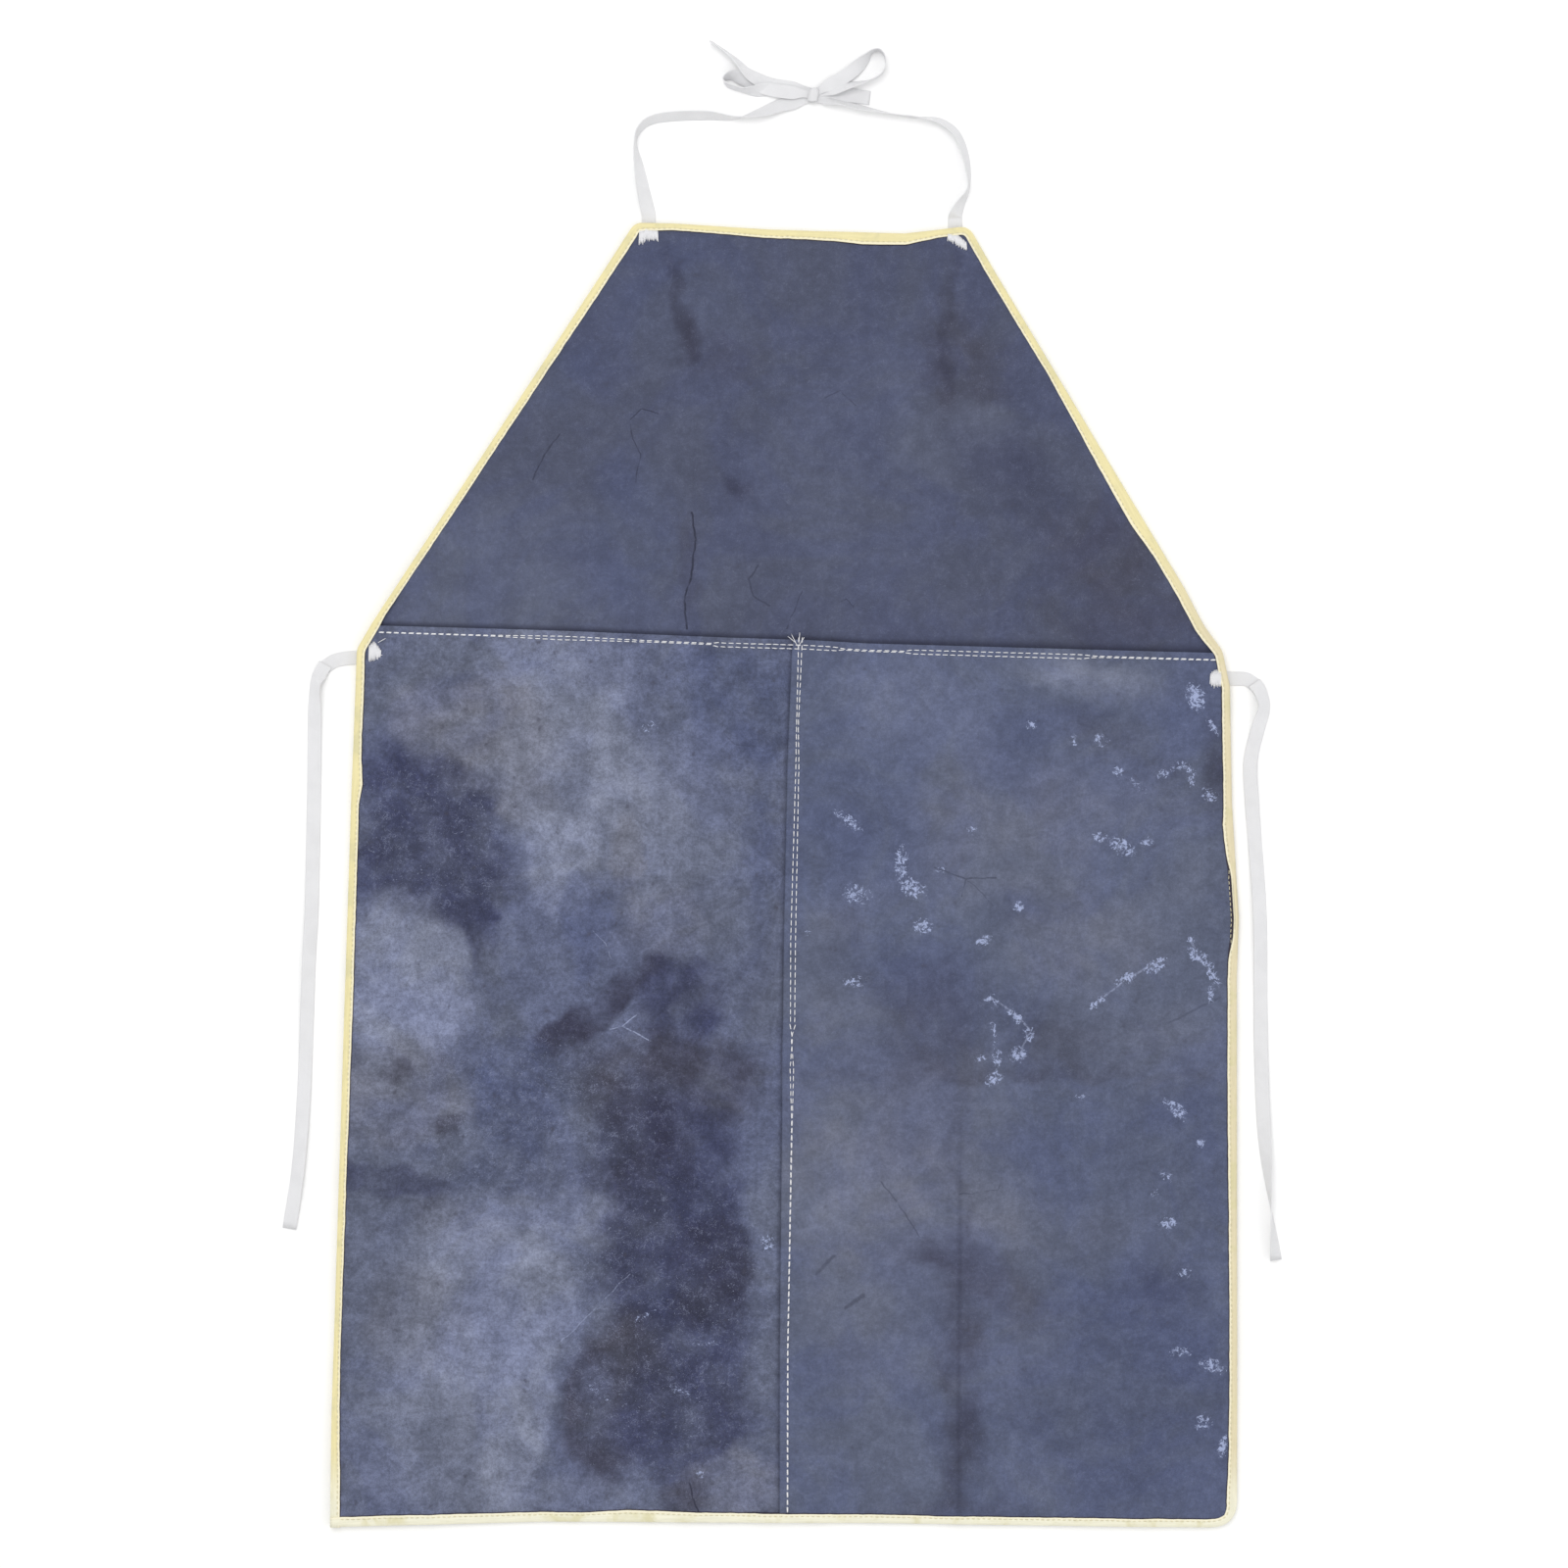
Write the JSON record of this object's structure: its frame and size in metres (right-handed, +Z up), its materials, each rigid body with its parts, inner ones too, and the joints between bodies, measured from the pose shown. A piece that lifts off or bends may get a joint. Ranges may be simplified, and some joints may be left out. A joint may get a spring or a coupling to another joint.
{
  "type": "welding apron",
  "caption": "Split-leather bib apron with a pieced skirt, a bound edge, cotton waist ties and a neck tape tied in a bow, for welding and hot work.",
  "frame": {"origin": "on the surface the apron lies on, under the middle of the leather's outline", "axes": "+Z up, out of the front of the apron; +Y towards the top of the bib and the neck tape; +X to the right as seen from the front"},
  "size_m": [0.6731, 1.0006, 0.0067],
  "materials": {
    "bib_leather": "smooth-brushed split leather, dark blue-grey, slightly creased",
    "skirt_leather": "mottled split leather, blue-violet grey with paler scuffs and darker stains",
    "edge_binding": "soft vinyl-coated binding strip, pale yellow, low sheen",
    "cotton_tape": "plain woven white cotton tape",
    "sewing_thread": "white twisted sewing thread"
  },
  "bodies": {
    "skirt": {"bar_tack_tie_left": "sewing_thread", "bar_tack_tie_right": "sewing_thread", "bib_seam_allowance": "bib_leather", "binding_skirt_left": "edge_binding", "binding_skirt_right": "edge_binding", "binding_thread_skirt_left": "sewing_thread", "binding_thread_skirt_right": "sewing_thread", "centre_thread_first_bobbin": "sewing_thread", "centre_thread_first_face": "sewing_thread", "centre_thread_second_bobbin": "sewing_thread", "centre_thread_second_face": "sewing_thread", "skirt_panel_left": "skirt_leather", "skirt_panel_right": "skirt_leather", "tie_left_sewn_end": "cotton_tape", "tie_right_sewn_end": "cotton_tape", "waist_thread_first_bobbin": "sewing_thread", "waist_thread_first_face": "sewing_thread", "waist_thread_second_bobbin": "sewing_thread", "waist_thread_second_face": "sewing_thread"},
    "bib": {"bib_panel": "bib_leather", "binding_bib": "edge_binding", "binding_thread_bib": "sewing_thread", "bar_tack_neck_left": "sewing_thread", "bar_tack_neck_right": "sewing_thread", "neck_tape_left_sewn_end": "cotton_tape", "neck_tape_right_sewn_end": "cotton_tape"},
    "neck_loop": {"bow_knot": "cotton_tape", "bow_loop_left": "cotton_tape", "bow_loop_right": "cotton_tape", "bow_tail_left": "cotton_tape", "bow_tail_right": "cotton_tape", "neck_tape_left": "cotton_tape", "neck_tape_right": "cotton_tape"},
    "tie_left": {"tie_left": "cotton_tape"},
    "tie_right": {"tie_right": "cotton_tape"}
  },
  "joints": [
    {"name": "bib_fold", "type": "hinge", "parent": "skirt", "child": "bib", "pos_m": [0, 0.1628, 0.0072], "axis": [0.9995, -0.0321, 0], "range_deg": [0, 165]},
    {"name": "neck_loop_swing", "type": "hinge", "parent": "bib", "child": "neck_loop", "pos_m": [0, 0.4415, 0.0046], "axis": [1, 0, 0], "range_deg": [0, 170]},
    {"name": "tie_left_swing", "type": "hinge", "parent": "skirt", "child": "tie_left", "pos_m": [-0.31, 0.14, 0], "axis": [0, 0, 1], "range_deg": [-130, 0]},
    {"name": "tie_right_swing", "type": "hinge", "parent": "skirt", "child": "tie_right", "pos_m": [0.318, 0.128, 0], "axis": [0, 0, 1], "range_deg": [0, 130]}
  ]
}
